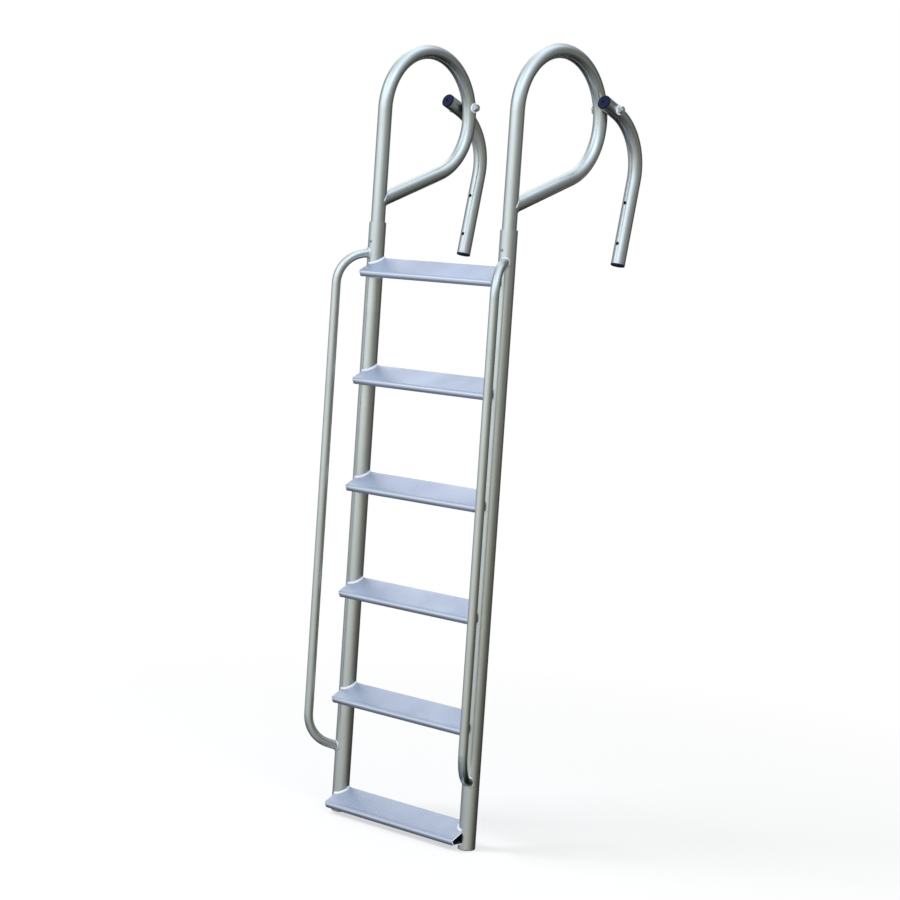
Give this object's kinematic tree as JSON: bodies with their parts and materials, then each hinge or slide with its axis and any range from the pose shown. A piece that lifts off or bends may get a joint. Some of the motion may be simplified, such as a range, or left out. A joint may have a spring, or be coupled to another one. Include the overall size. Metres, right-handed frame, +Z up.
{
  "type": "flip-up dock ladder",
  "caption": "Aluminium dock ladder with wedge treads, bent hand loops, side handrails and two bent dock arms on pivot bolts, so that it swings up out of the water.",
  "frame": {"origin": "middle of the flat end face of the plug in the left dock arm's foot", "axes": "+X across the ladder to its right as a climber faces it from the water, +Y towards the dock, +Z up along the rails"},
  "size_m": [0.6527, 0.6034, 2.2132],
  "materials": {
    "rail": "satin mill finish, drawn lengthwise",
    "bent_tube": "satin mill finish, bent tube",
    "tread": "fine ribbed grip surface, satin",
    "fastener": "stainless, lightly polished",
    "arm_plug": "moulded navy-black",
    "spacer": "moulded black",
    "foot_cap": "moulded grey"
  },
  "bodies": {
    "dock_arms": {"left_dock_arm": "bent_tube", "left_arm_foot_plug": "arm_plug", "left_arm_head_plug": "arm_plug", "left_pivot_bolt": "fastener", "left_pivot_head_washer": "fastener", "left_pivot_nut_washer": "fastener", "left_pivot_spacer": "spacer", "left_pivot_nut": "fastener", "right_dock_arm": "bent_tube", "right_arm_foot_plug": "arm_plug", "right_arm_head_plug": "arm_plug", "right_pivot_bolt": "fastener", "right_pivot_head_washer": "fastener", "right_pivot_nut_washer": "fastener", "right_pivot_spacer": "spacer", "right_pivot_nut": "fastener"},
    "ladder": {"left_rail": "rail", "left_rail_foot_cap": "foot_cap", "left_hand_loop": "bent_tube", "left_loop_screw": "fastener", "left_side_handrail": "bent_tube", "right_rail": "rail", "right_rail_foot_cap": "foot_cap", "right_hand_loop": "bent_tube", "right_loop_screw": "fastener", "right_side_handrail": "bent_tube", "tread_1": "tread", "tread_2": "tread", "tread_3": "tread", "tread_4": "tread", "tread_5": "tread", "tread_6": "tread"}
  },
  "joints": [
    {"name": "ladder_swing", "type": "hinge", "parent": "dock_arms", "child": "ladder", "pos_m": [0.2926, -0.07007, 0.43289], "axis": [-1, 0, 0], "range_deg": [0, 260]}
  ]
}
